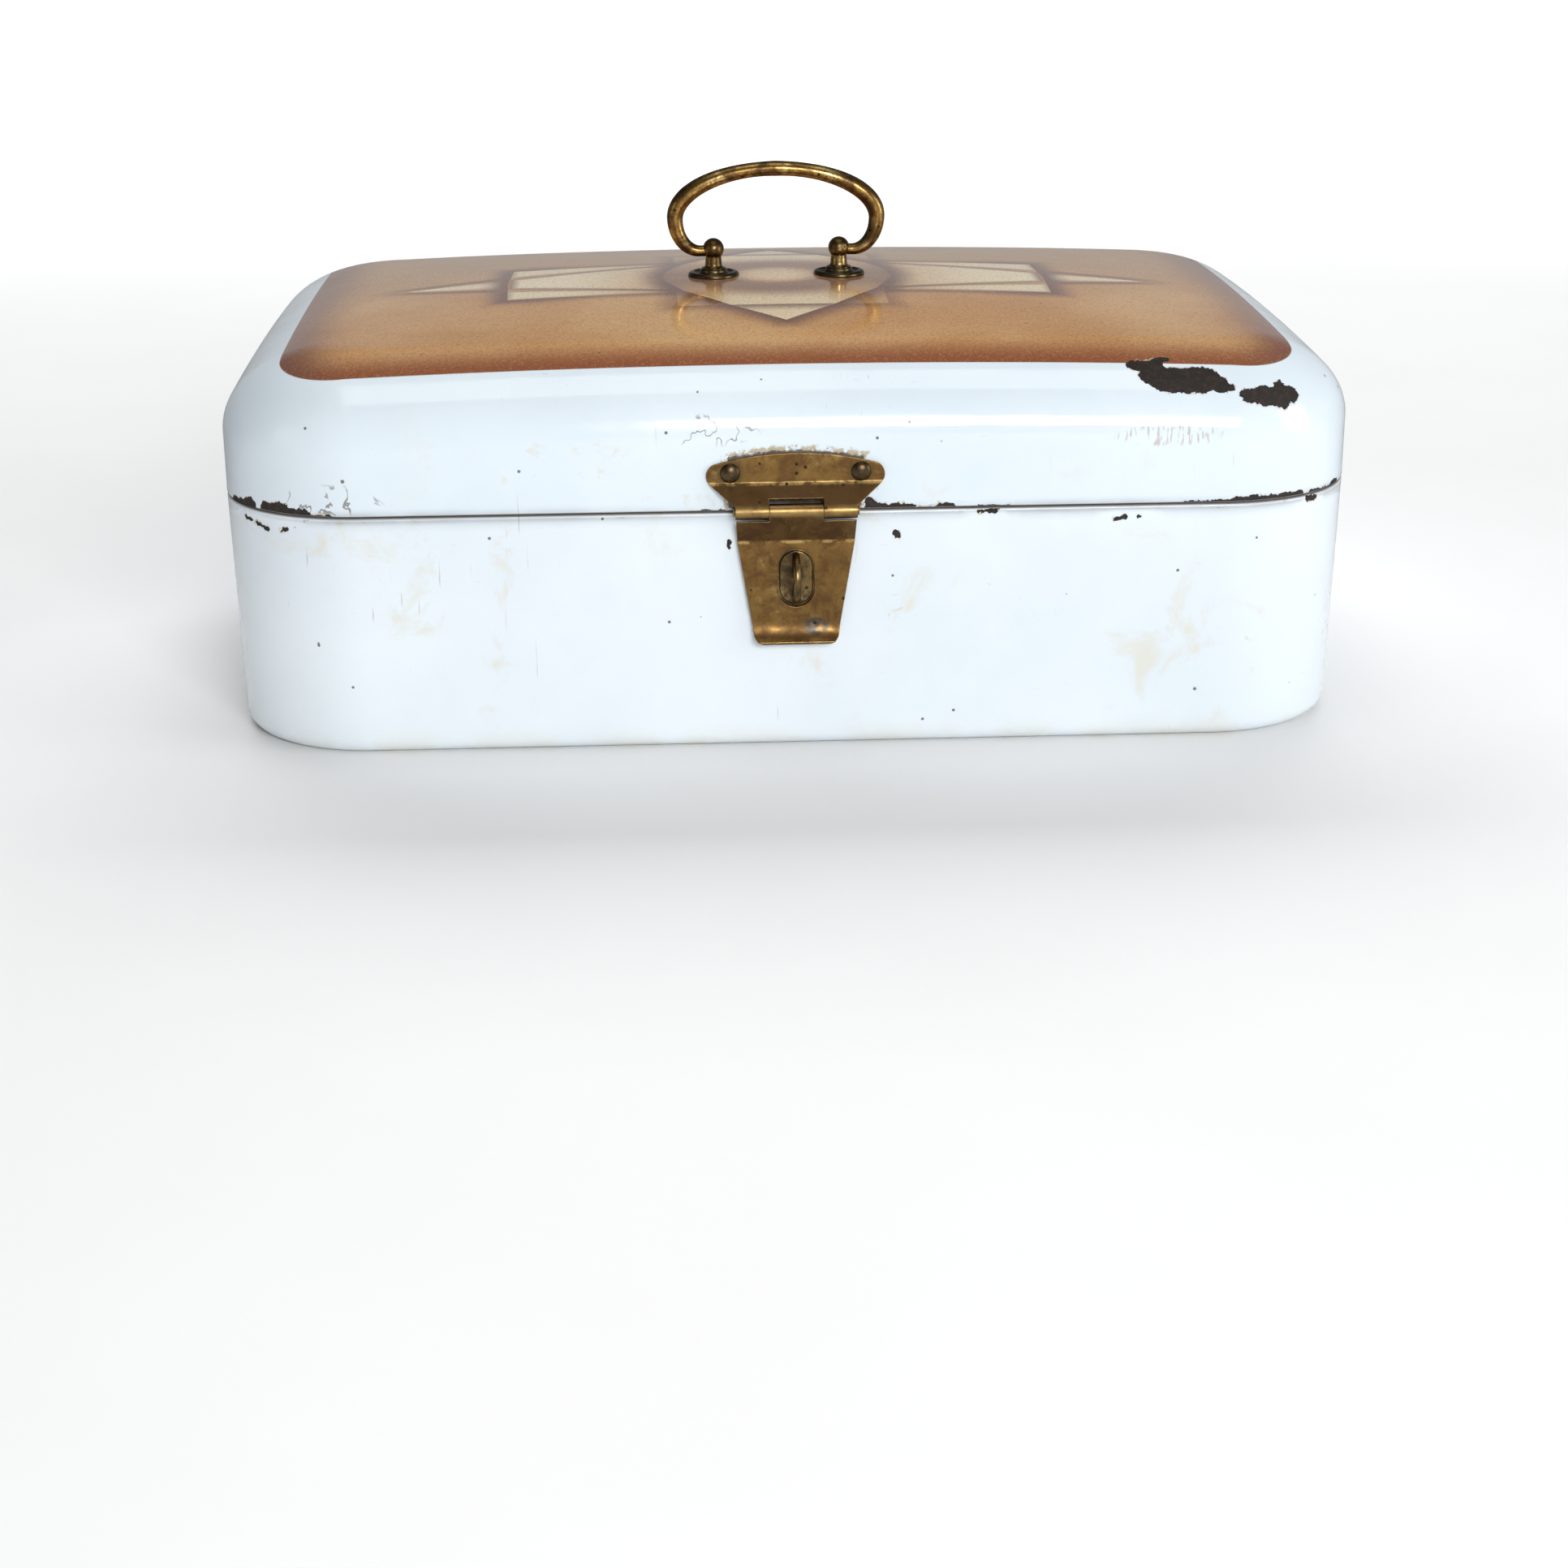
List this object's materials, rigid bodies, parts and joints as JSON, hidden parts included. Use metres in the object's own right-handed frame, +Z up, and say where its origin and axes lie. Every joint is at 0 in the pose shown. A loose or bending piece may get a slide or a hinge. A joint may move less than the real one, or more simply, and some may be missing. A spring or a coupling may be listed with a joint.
{
  "type": "enamelled food carrier",
  "caption": "Enamelled steel food carrier: rounded box, hinged domed lid, swinging brass bail handle, and a brass hasp over a staple that takes a padlock.",
  "frame": {"origin": "centre of the flat underside", "axes": "+X to the right along the length as seen from the hasp side, +Y back towards the hinges, +Z up"},
  "size_m": [0.38, 0.2642, 0.1781],
  "materials": {
    "box_enamel": "glossy blue-white enamel with small chips",
    "lid_enamel": "glossy white enamel with a sprayed tan panel",
    "handle_brass": "worn, aged brass",
    "hasp_brass": "tarnished sheet brass",
    "dark_brass": "dark tarnished brass",
    "hinge_brass": "tarnished sheet brass",
    "plated_steel": "dull plated steel"
  },
  "bodies": {
    "box": {"body_shell": "box_enamel", "staple": "dark_brass", "staple_plate": "dark_brass", "staple_backing_plate": "plated_steel", "left_hinge_box_leaf": "hinge_brass", "right_hinge_box_leaf": "hinge_brass", "left_hinge_pin": "hinge_brass", "right_hinge_pin": "hinge_brass", "hinge_box_rivets": "dark_brass"},
    "lid": {"lid_shell": "lid_enamel", "left_hinge_lid_leaf": "hinge_brass", "right_hinge_lid_leaf": "hinge_brass", "hinge_lid_rivets": "dark_brass", "hasp_plate": "hasp_brass", "hasp_pin": "hasp_brass", "left_hasp_rivet": "dark_brass", "right_hasp_rivet": "dark_brass", "left_post": "handle_brass", "right_post": "handle_brass", "left_rosette": "handle_brass", "right_rosette": "handle_brass", "left_post_washer": "plated_steel", "right_post_washer": "plated_steel", "left_post_nut": "plated_steel", "right_post_nut": "plated_steel"},
    "handle": {"handle_bail": "handle_brass"},
    "hasp": {"hasp_flap": "hasp_brass"}
  },
  "joints": [
    {"name": "lid_hinge", "type": "hinge", "parent": "box", "child": "lid", "pos_m": [0, 0.12706, 0.0815], "axis": [-1, 0, 0], "range_deg": [0, 110]},
    {"name": "handle_swing", "type": "hinge", "parent": "lid", "child": "handle", "pos_m": [0, 0, 0.14647], "axis": [1, 0, 0], "range_deg": [-100, 100]},
    {"name": "hasp_hinge", "type": "hinge", "parent": "lid", "child": "hasp", "pos_m": [0, -0.129, 0.0825], "axis": [-1, 0, 0], "range_deg": [0, 135]}
  ]
}
